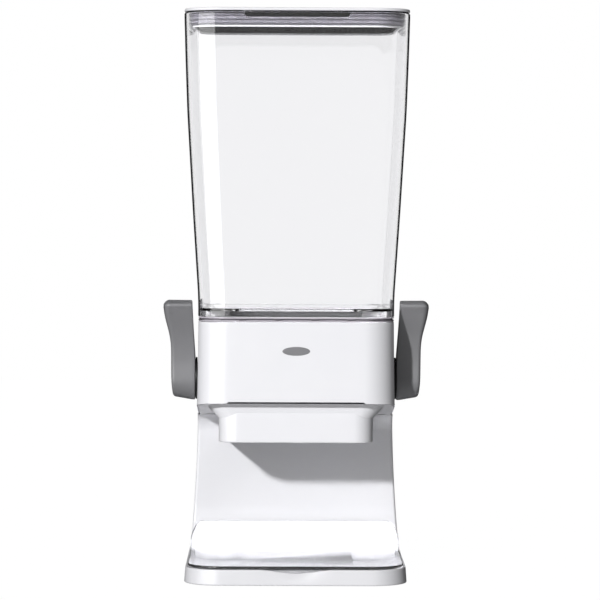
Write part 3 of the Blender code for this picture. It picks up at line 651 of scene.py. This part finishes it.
def hub_arc(start, end, count):
    """Points on the round hub between two angles in degrees."""
    angle = np.radians(np.linspace(start, end, count))
    return np.stack([AXIS_Y + HUB * np.cos(angle), AXIS_Z + HUB * np.sin(angle)], 1)


def even(path, count):
    """Points at equal distances along a path."""
    far = np.concatenate([[0.0], np.cumsum(np.linalg.norm(np.diff(path, axis=0), axis=1))])
    at = np.linspace(0.0, far[-1], count)
    return np.stack([np.interp(at, far, path[:, axis]) for axis in (0, 1)], 1)


def lever_outline():
    """Hub, arm and rounded tip as one closed loop, walked anticlockwise."""
    tip = span("handle_left")[1][2]
    rear_arc = hub_arc(-90.0, 62.0, 34)
    rear_arm = smooth_path((rear_arc[-1], (-11.5, 197.0), (-22.0, 215.0), (-28.0, tip)), 40)
    front_arc = hub_arc(-180.0, -90.0, 24)
    front_places = (front_arc[0], (-26.2, 180.0), (-29.6, 198.0), (-37.0, 217.0), (-41.2, 226.8))
    front_arm = smooth_path(front_places, 52)[::-1]
    corners = ((*rear_arm[-6], 0.0), (*rear_arm[-1], 2.6), (*front_arm[0], 2.2), (*front_arm[6], 0.0))
    top = rounded(corners, 9)
    path = np.concatenate([rear_arc[:-1], rear_arm[:-6], top, front_arm[7:-1], front_arc[:-1]])
    return even(np.concatenate([path, path[:1]]), 181)[:-1]


def inward(loop, distance):
    """Shift a closed loop towards its inside along its own normals."""
    run = np.roll(loop, -1, 0) - np.roll(loop, 1, 0)
    normal = np.stack([-run[:, 1], run[:, 0]], 1) / np.linalg.norm(run, axis=1)[:, None]
    return loop + normal * distance


def softened(z, heights, places, reach=7.0):
    """Linear interpolation averaged over a small reach, which rounds off its kinks."""
    offsets = np.linspace(-reach, reach, 15)[:, None]
    return np.interp(np.asarray(z)[None, :] + offsets, heights, places).mean(0)


def lever(word, side):
    """From the screw recess out over the face, round the edge, and back to the shaft's bore.

    Every ring has one point for each point of the outline. On the faces a ring is
    blended between the outline and a circle about the shaft: ring = circle + t (outline - circle).
    """
    edge = lever_outline()
    middle = np.array([AXIS_Y, AXIS_Z])
    angle = np.arctan2(edge[:, 1] - AXIS_Z, edge[:, 0] - AXIS_Y)
    round_ring = np.stack([np.cos(angle), np.sin(angle)], 1)

    def face_x(ring, share):
        inner = softened(ring[:, 1], (182.0, 209.0, 229.0), (83.7, 85.1, 85.9))
        outer = softened(ring[:, 1], (146.0, 164.0, 194.0, 201.5, 212.0, 221.0, 229.0),
                         (102.2, 103.5, 103.7, 104.9, 107.8, 109.5, 109.8))
        return inner, outer, inner + (outer - inner) * share

    def row(ring, x):
        x = np.broadcast_to(x, len(ring))
        draft = 3.2 * np.clip((x - 86.0) / 17.0, 0.0, 1.0) * np.clip((159.5 - ring[:, 1]) / 13.8, 0.0, 1.0)
        return np.column_stack([x * side, ring[:, 0], ring[:, 1] + draft])

    rows = [row(middle + round_ring * 0.001, 100.0), row(middle + round_ring * 3.9, 100.0)]
    recess = middle + round_ring * 4.0
    outer_x = face_x(recess, 1.0)[1]
    rows += [row(recess, 100.2), row(recess, outer_x - 0.4), row(middle + round_ring * 4.15, outer_x - 0.1),
             row(middle + round_ring * 4.5, outer_x)]
    near = middle + round_ring * 4.5
    grip = np.clip((edge[:, 1] - 185.0) / 40.0, 0.0, 1.0)[:, None]
    big = 2.6 + 2.8 * grip ** 2
    for share in np.linspace(0.06, 1.0, 14):
        ring = near + (inward(edge, big) - near) * share
        rows.append(row(ring, face_x(ring, 1.0)[1]))
    for turn in np.radians(np.linspace(10.0, 90.0, 9)):
        ring = inward(edge, big * (1.0 - math.sin(turn)))
        rows.append(row(ring, face_x(edge, 1.0)[1] - big[:, 0] * (1.0 - math.cos(turn))))
    for share in (0.8, 0.6, 0.4, 0.2):
        rows.append(row(inward(edge, 0.25 * (1.0 - share)), face_x(edge, share)[2]))
    for turn in np.radians(np.linspace(0.0, 90.0, 6)):
        ring = inward(edge, 0.25 + 1.1 * (1.0 - math.cos(turn)))
        rows.append(row(ring, face_x(edge, 0.0)[0] + 1.1 * (1.0 - math.sin(turn))))
    bore = middle + round_ring * 4.4
    for share in np.linspace(0.92, 0.0, 10):
        ring = bore + (inward(edge, 1.35) - bore) * share
        rows.append(row(ring, face_x(ring, 0.0)[0]))
    rows += [row(bore, 90.0), row(bore, 97.0), row(middle + round_ring * 0.001, 97.0)]
    return loft("lever_" + word, rows, grey_nylon, sharp=50.0)


for side, word in ((-1, "left"), (1, "right")):
    settle(lever(word, side), "dispensing_wheel", "grey_handle", "handle_" + word)


# %% [markdown]
# ## Bin, seal and lid
# The bin is one clear moulding with a three millimetre wall. It widens upwards, and
# its floor falls to a slot over the wheel. Real thickness matters here, because the
# light bends where it enters and where it leaves the wall.

# %% The bin
BIN_SEAT = 216.8
BIN_FOOT_HALF = 80.8
BIN_WALL = 3.0
SLOT_HALF = 50.0


def bin_half(z):
    """Half the width: upright at the seat, then widening, with its kinks softened."""
    heights = (232.0, 300.0, 385.0, 430.0, bin_top)
    return float(softened([z], heights, (BIN_FOOT_HALF, 85.3, 90.3, 91.9, 92.9), 9.0)[0])


def bin_flat(inset, z, front_x=None):
    """The bin seen from above; front and back grow by a third of what the sides do."""
    grow = (bin_half(z) - BIN_FOOT_HALF) / 3.0
    corner = HOUSING_CORNER + grow * 0.8 - inset
    front = inset - 66.0 - grow
    return outline(bin_half(z) - inset, front, 70.0 + grow - inset, corner, corner, front_x=front_x)


def bin_loop(inset, z):
    """One outline of the bin, at its height."""
    return lift(bin_flat(inset, z), z)


def slot_loop(grow, z, corner=6.0):
    """The slot over the wheel, grown on every side."""
    near, far = AXIS_Y - 18.0, AXIS_Y + 18.0
    return lift(outline(SLOT_HALF + grow, near - grow, far + grow, corner, corner), z)


def bin_shell():
    """Up the outside, over the rim, down the inside, along the sloped floor and round the spigot."""
    loops = [bin_loop(3.4, 209.2), bin_loop(3.4, 211.0), bin_loop(3.4, BIN_SEAT), bin_loop(1.2, BIN_SEAT)]
    loops += [bin_loop(0.4, BIN_SEAT + 0.05), bin_loop(0.1, BIN_SEAT + 0.3), bin_loop(0.0, BIN_SEAT + 0.8)]
    loops += [bin_loop(0.0, z) for z in np.linspace(219.0, bin_top - 1.6, 44)]
    for turn in np.radians(np.linspace(0.0, 90.0, 5)):
        loops.append(bin_loop(1.0 - math.cos(turn), bin_top - 1.0 + math.sin(turn)))
    for turn in np.radians(np.linspace(90.0, 180.0, 5)):
        loops.append(bin_loop(2.0 - math.cos(turn), bin_top - 1.0 + math.sin(turn)))
    loops += [bin_loop(BIN_WALL, z) for z in np.linspace(bin_top - 1.6, 226.0, 44)]
    wall = bin_loop(BIN_WALL, 223.9)
    slot = slot_loop(0.0, 215.6)
    loops.append(wall)
    for share in np.linspace(0.03, 0.97, 9):
        ring = wall + (slot - wall) * share
        ring[:, 2] = 215.6 + 8.0 * (1.0 - share) ** 0.95
        loops.append(ring)
    loops += [slot, slot_loop(-0.2, 215.2), slot_loop(-0.2, 212.5)]
    loops += [slot_loop(0.2, 212.1, 6.2), slot_loop(2.0, 212.1, 8.0)]
    under = bin_loop(5.6, 221.5)
    start = loops[-1]
    for share in np.linspace(0.1, 1.0, 8):
        ring = start + (under - start) * share
        ring[:, 2] = 212.1 + 9.4 * share
        loops.append(ring)
    loops += [bin_loop(5.6, 212.0), bin_loop(5.4, 209.2), bin_loop(5.2, 209.0), bin_loop(3.6, 209.0)]
    return loft("bin_shell", loops, clear_san, ring=True, sharp=32.0)


def second_finish(piece, material):
    """Give the faces that look towards the middle of the piece their own finish."""
    mesh = piece.data
    mesh.materials.append(material)
    centre = np.empty(len(mesh.polygons) * 3)
    normal = np.empty(len(mesh.polygons) * 3)
    mesh.polygons.foreach_get("center", centre)
    mesh.polygons.foreach_get("normal", normal)
    inwards = (centre.reshape(-1, 3)[:, :2] * normal.reshape(-1, 3)[:, :2]).sum(1) < 0.0
    mesh.polygons.foreach_set("material_index", inwards.astype(np.int32))
    mesh.update()
    print("inner faces:", int(inwards.sum()), "of", len(inwards))


clear_bin = settle(bin_shell(), "container", "clear_bin", "container")
# The inner faces take the copy with paler painted edges.
second_finish(clear_bin, clear_san_inside)


# %% Seal under the bin
def seal_loop(inset, z):
    """The seal follows the housing's top edge."""
    return lift(housing_flat(half_top, inset), z)


low, high = span("container_seal")
middle = 0.5 * (low[2] + high[2])
seal_rows = rounded(((2.8, low[2], 0.0), (0.0, low[2], 0.6), (0.0, middle, 0.2),
                     (0.0, high[2], 0.6), (2.8, high[2], 0.3), (2.8, low[2], 0.0)), 3)
groove = 0.22 * np.exp(-((seal_rows[:, 1] - middle) / 0.35) ** 2)
seal_rows[:, 0] += groove * (seal_rows[:, 0] < 1.0)
seal = loft("bin_seal", [seal_loop(inset, z) for inset, z in seal_rows[:-1]], gasket_silicone, ring=True)
settle(seal, "stand", "grey_gasket", "container_seal")


# %% Lid: white cover, dark plug, finned seal
RECESS_BOTTOM = 461.0
CAP_INSET = 24.0


def recess_half(z):
    """Half the width of the finger recess, a trapezoid that narrows downwards."""
    return 41.0 + 4.5 * float(np.clip((z - RECESS_BOTTOM) / 6.0, 0.0, 1.0))


def lid_cover():
    """A flat white cover with a soft edge and a slightly domed top."""
    low, high = span("lid_cover")
    bottom = low[2] + 0.2
    loops = [bin_loop(CAP_INSET, bottom), bin_loop(1.3, bottom)]
    for turn in np.radians(np.linspace(0.0, 90.0, 4)):
        loops.append(bin_loop(0.7 - 0.5 * math.sin(turn), bottom + 0.5 - 0.5 * math.cos(turn)))
    for turn in np.radians(np.linspace(0.0, 90.0, 7)):
        loops.append(bin_loop(0.2 + 1.3 * (1.0 - math.cos(turn)), high[2] - 1.5 + 1.3 * math.sin(turn)))
    for inset, drop in ((3.0, 0.12), (6.0, 0.02), (12.0, 0.0), (CAP_INSET, 0.0)):
        loops.append(bin_loop(inset, high[2] - drop))
    for row in loops:
        row[:, 2] = np.clip(row[:, 2], low[2], high[2])
    return loft("lid_top", loops, white_abs)


def ring_with_recess(profile, depth_y):
    """Loops of a wall profile, pushed back to depth_y wherever the finger recess is."""
    loops = []
    for inset, z in profile:
        wide = recess_half(z)
        half_x = np.array([52.0, 49.0, wide + 0.3, wide - 0.3, wide - 4.0, 24.0, 12.0])
        front_x = np.concatenate([-half_x, [0.0], half_x[::-1]])
        flat = bin_flat(inset, z, front_x)
        inside = (np.abs(flat[:, 0]) < wide) & (z >= RECESS_BOTTOM) & (flat[:, 1] < depth_y)
        flat[inside, 1] = depth_y
        loops.append(lift(flat, z))
    return loops


def lid_plug():
    """The dark hollow plug: down the outside, round its lip, and up inside to a flat ceiling."""
    profile = [(CAP_INSET, 466.85), (1.9, 466.85), (1.6, 466.6), (1.6, 466.05), (1.9, 465.9), (4.4, 465.9)]
    profile += [(4.6, 465.7), (4.6, 465.2), (6.2, 464.9)]
    profile += [(6.4, z) for z in (464.7, 463.0, 461.4, 461.05, 460.95, 460.6, 458.0, 456.0)]
    profile += [(6.45, 455.3), (8.3, 455.3), (8.4, 455.6)]
    profile += [(8.6, 458.0), (8.8, 461.0), (8.95, 463.0), (9.3, 463.35), (10.0, 463.4), (CAP_INSET, 463.4)]
    return loft("lid_plug_body", ring_with_recess(profile, -62.4), dark_pp)


def lid_lip_painted_highlight():
    """A rounded lip at the foot of the plug's wall, painted in the cover's white as the highlight on the
    plug's lower edge.
    """
    corners = ((6.5, 455.4, 0.0), (6.45, 453.7, 0.6), (8.4, 453.7, 0.6), (8.35, 455.4, 0.0))
    loops = [bin_loop(inset, z) for inset, z in rounded(corners, 4)]
    return loft("lid_lip_ring_painted_highlight", loops, white_abs, ring=True)


def lid_fins():
    """Three soft fins on a thin band, notched where the finger recess is."""
    rows = []
    for middle in (456.9, 460.1, 463.3):
        for step in (-1.3, -0.9, -0.5, -0.25, 0.0, 0.25, 0.5, 0.9, 1.2):
            rows.append((3.3 + 1.9 * min(1.0, abs(step) / 1.2) ** 0.8, middle + step))
    rows.sort(key=lambda row: row[1])
    rows = [(6.1, 455.4), (5.4, 455.4), *rows, (5.4, 464.5), (6.1, 464.5), (6.1, 462.2), (6.1, 461.9)]
    return loft("lid_seal_fins", ring_with_recess(rows, -62.9), lid_silicone, ring=True)


settle(lid_cover(), "lid", "white_abs", "lid_cover")
settle(lid_plug(), "lid", "dark_lid_plug", "lid_plug")
# The white lip is a painted highlight where the dark plug's lower edge catches the key light.
settle(lid_lip_painted_highlight(), "lid", "white_abs", "lid_cover")
settle(lid_fins(), "lid", "grey_lid_seal", "lid_seal")


# %% [markdown]
# ## Crumb tray
# A thin clear dish lies on the base. Its sides rise to a rim that rests on the base,
# and its back climbs the sweep of the stand, so crumbs slide forward into it.

# %% The tray
def tray_height(y, grow):
    """Height of a surface parallel to the sweep, at a distance grow in front of it."""
    radius = FOOT_FILLET - grow
    reach = np.clip(np.asarray(y) - sweep_y, 0.0, radius * 0.96)
    return sweep_z - np.sqrt(radius ** 2 - reach ** 2)


def tray_loop(inset, rise, grow):
    """An outline drawn in by inset and raised by rise, less and less towards the back."""
    inset = float(inset)
    corner = max(27.0 - inset, 2.0)
    flat = outline(88.0 - inset, inset - 98.0, 33.5 - inset * 0.5, corner, max(9.0 - inset * 0.5, 2.0))
    fade = np.clip((24.0 - flat[:, 1]) / 24.0, 0.0, 1.0)
    fade = fade * fade * (3.0 - 2.0 * fade)
    return np.column_stack([flat, tray_height(flat[:, 1], grow) + rise * fade])


def tray():
    """Underside from the middle out, round the rim, and the upper face back to the middle."""
    under = ((20.0, 0.0), (14.0, 0.4), (8.0, 1.5), (3.6, 2.9), (2.6, 3.9), (0.6, 4.1))
    upper = ((0.6, 4.2), (3.0, 3.3), (8.0, 1.6), (14.0, 0.5), (20.0, 0.0))
    loops = [tray_loop(40.0, 0.0, 0.4), tray_loop(28.0, 0.0, 0.4)]
    loops += [tray_loop(inset, max(rise, 0.0), 0.4) for inset, rise in smooth_path(under, 21)]
    loops += [tray_loop(0.12, 4.02, 1.0), tray_loop(0.0, 3.9, 1.5), tray_loop(0.12, 4.05, 2.1)]
    loops += [tray_loop(inset, max(rise, 0.0), 2.4) for inset, rise in smooth_path(upper, 21)]
    loops += [tray_loop(28.0, 0.0, 2.4), tray_loop(40.0, 0.0, 2.4)]
    return loft("tray_dish", loops, clear_tray_san, sharp=60.0)


clear_tray = settle(tray(), "crumb_tray", "clear_tray", "crumb_tray")


# %% [markdown]
# ## Finishes for the carried-over solids
# The solids that are already the right shape keep their meshes and get a real finish.

# %% Give every remaining solid its finish
# The rear cover takes the stand's white, painted a little greyer as shade.
carried = {stand_white_painted_shade: ("rear_cover",), satin_abs: ("base_plate", "hopper_funnel", "wheel_drum"),
           black_acetal: ("wheel_core",), wheel_silicone: ("paddle_wheel",),
           foot_rubber: [name for name in nodes if name.startswith("foot_")],
           plated_steel: ["drive_shaft"] + [name for name in nodes if "screw" in name]}
for material, names in carried.items():
    for name in names:
        nodes[name].data.materials.clear()
        nodes[name].data.materials.append(material)


# %% [markdown]
# ## Studio
# The floor and the world around it are the same plain white. The key light comes
# from the front left and is small enough to leave clear shadow edges. A broad soft
# panel on the left shows only in reflections, and a weak one overhead fills a little.

# %% Clear pieces do not block the key light
clear_bin.visible_shadow = False
clear_tray.visible_shadow = False

# %% Floor
def disc(name, radius, height, material):
    """A flat disc made of rings, wide enough for every view."""
    angle = np.linspace(0.0, 2.0 * np.pi, 96, endpoint=False)
    ring = np.stack([np.cos(angle), np.sin(angle)], 1)
    loops = [np.column_stack([ring * size, np.full(96, height)]) for size in (0.01, radius * 0.1, radius)]
    grid = np.stack(loops)
    return mesh_piece(name, grid.reshape(-1, 3), grid_faces(3, 96), material)


floor_material = bpy.data.materials.new("matt_white_paper")
floor_material.use_nodes = True
paper = floor_material.node_tree
paper_shader = paper.nodes["Principled BSDF"]
paper_shader.inputs["Roughness"].default_value = 0.9
paper_shader.inputs["Specular IOR Level"].default_value = 0.0
paper_shader.inputs["Base Color"].default_value = linear("101010")
paper_shader.inputs["Emission Color"].default_value = linear("FFFFFF")
scattered = add(paper, "ShaderNodeLightPath").outputs["Diffuse Depth"]
level = add(paper, "ShaderNodeMapRange", {"Value": scattered, "From Min": 0.0, "From Max": 1.0,
                                          "To Min": 1.0, "To Max": 0.3})
paper.links.new(level.outputs["Result"], paper_shader.inputs["Emission Strength"])
floor = disc("studio_floor", 3000.0, -0.3, floor_material)
floor.visible_diffuse = False
floor.visible_glossy = False
floor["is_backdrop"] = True

# %% A flag for the right lever
# The clear bin casts no shadow here. This card is never seen, and only shades part
# of the lever beside the bin.
flag_rows = []
for z, reach in ((150.0, 27.6), (200.0, 27.0), (217.0, 24.6), (235.0, 22.9), (330.0, 24.5)):
    radius = np.array([16.0, reach])
    flag_rows.append(np.stack([59.0 + 0.894 * radius, -41.0 - 0.447 * radius, np.full(2, z)], 1))
flag = mesh_piece("key_flag", np.concatenate(flag_rows), grid_faces(5, 2, wrap=False), black_acetal)
flag.visible_camera = False
flag.visible_diffuse = False
flag.visible_glossy = False
flag.visible_transmission = False
flag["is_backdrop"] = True

# %% World
# Seen directly, or through a clear piece, the world is plain white. For all other rays
# it is a dim glow, brighter towards the front left and from below.
world = bpy.data.worlds.new("studio")
bpy.context.scene.world = world
world.use_nodes = True
sky = world.node_tree
background = sky.nodes["Background"]
background.inputs["Color"].default_value = (1.0, 1.0, 1.0, 1.0)
direction = add(sky, "ShaderNodeTexCoord").outputs["Generated"]
facing = add(sky, "ShaderNodeVectorMath", {0: direction, 1: (-0.40, -0.65, 0.65)}, operation="DOT_PRODUCT")
upper = add(sky, "ShaderNodeMapRange", {"Value": facing.outputs["Value"], "From Min": -0.6, "From Max": 1.0,
                                        "To Min": 0.03, "To Max": 0.22}, interpolation_type="SMOOTHSTEP")
downward = add(sky, "ShaderNodeVectorMath", {0: direction, 1: (0.0, -0.45, -0.89)}, operation="DOT_PRODUCT")
lower = add(sky, "ShaderNodeMapRange",
            {"Value": downward.outputs["Value"], "From Min": 0.0, "From Max": 1.0,
             "To Min": 0.0, "To Max": 0.55}, interpolation_type="SMOOTHSTEP")
path = add(sky, "ShaderNodeLightPath")
both = add(sky, "ShaderNodeMath", {0: upper.outputs["Result"], 1: lower.outputs["Result"]}, operation="ADD")
dim = add(sky, "ShaderNodeMix", {"Factor": path.outputs["Is Glossy Ray"], 2: 1.0, 3: 0.2})
glow = add(sky, "ShaderNodeMath", {0: both.outputs[0], 1: dim.outputs[0]}, operation="MULTIPLY")
unscattered = add(sky, "ShaderNodeMath", {0: path.outputs["Diffuse Depth"], 1: 0.5}, operation="LESS_THAN")
through = add(sky, "ShaderNodeMath", {0: path.outputs["Is Transmission Ray"], 1: unscattered.outputs[0]},
              operation="MULTIPLY")
seen = add(sky, "ShaderNodeMath", {0: path.outputs["Is Camera Ray"], 1: through.outputs[0]},
           operation="MAXIMUM")
brightness = add(sky, "ShaderNodeMix", {"Factor": seen.outputs[0], 2: glow.outputs[0], 3: 1.0})
sky.links.new(brightness.outputs[0], background.inputs["Strength"])


# %% Lights
def aim(item, target):
    """Turn a light or camera so that its -Z axis points at a target."""
    way = Vector(target) - item.location
    item.rotation_mode = "QUATERNION"
    item.rotation_quaternion = way.to_track_quat("-Z", "Y")


def light(name, kind, place, target, energy, **settings):
    """Add a lamp that looks at a target."""
    lamp = bpy.data.lights.new(name, kind)
    lamp.energy = energy
    for setting, value in settings.items():
        setattr(lamp, setting, value)
    item = bpy.data.objects.new(name, lamp)
    item.location = place
    bpy.context.scene.collection.objects.link(item)
    aim(item, target)
    return item


key = light("key_sun", "SUN", (-0.50 * 3, -3.0, 0.435 * 3 + 0.2), (0.0, 0.0, 0.2), 3.25,
            angle=math.radians(3.4))
# Clear materials pass on no key light of their own.
key.visible_transmission = False
strip = light("strip_panel", "AREA", (-1.08, -1.19, 0.36), (-0.05, -0.05, 0.33), 20.0,
              shape="RECTANGLE", size=1.7, size_y=0.9)
strip.visible_diffuse = False
strip.visible_transmission = False
overhead = light("overhead_panel", "AREA", (-0.2, -0.5, 1.9), (0.0, 0.0, 0.2), 1.5,
                 shape="RECTANGLE", size=1.2, size_y=1.2)
overhead.visible_transmission = False


# %% Camera
camera_data = bpy.data.cameras.new("camera")
camera_data.lens = 192.7
camera_data.sensor_width = 36.0
camera_data.clip_start = 0.05
camera_data.clip_end = 100.0
camera = bpy.data.objects.new("camera", camera_data)
bpy.context.scene.collection.objects.link(camera)
camera.location = (-0.0195, -2.688, 0.307)
camera.rotation_mode = "XYZ"
camera.rotation_euler = (math.radians(90.0 - 1.66), math.radians(-0.23), math.radians(-0.482))
bpy.context.scene.camera = camera
bpy.context.scene.view_settings.view_transform = "Standard"


# %% [markdown]
# ## Sizes
# The box around every shown piece is worked out and printed in millimetres. The fine
# pieces must stay inside the box of the solids.

# %% Print the box of the shown pieces
low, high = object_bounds()
print("visual box in mm:", [round(value / MM, 1) for value in (*low, *high)])
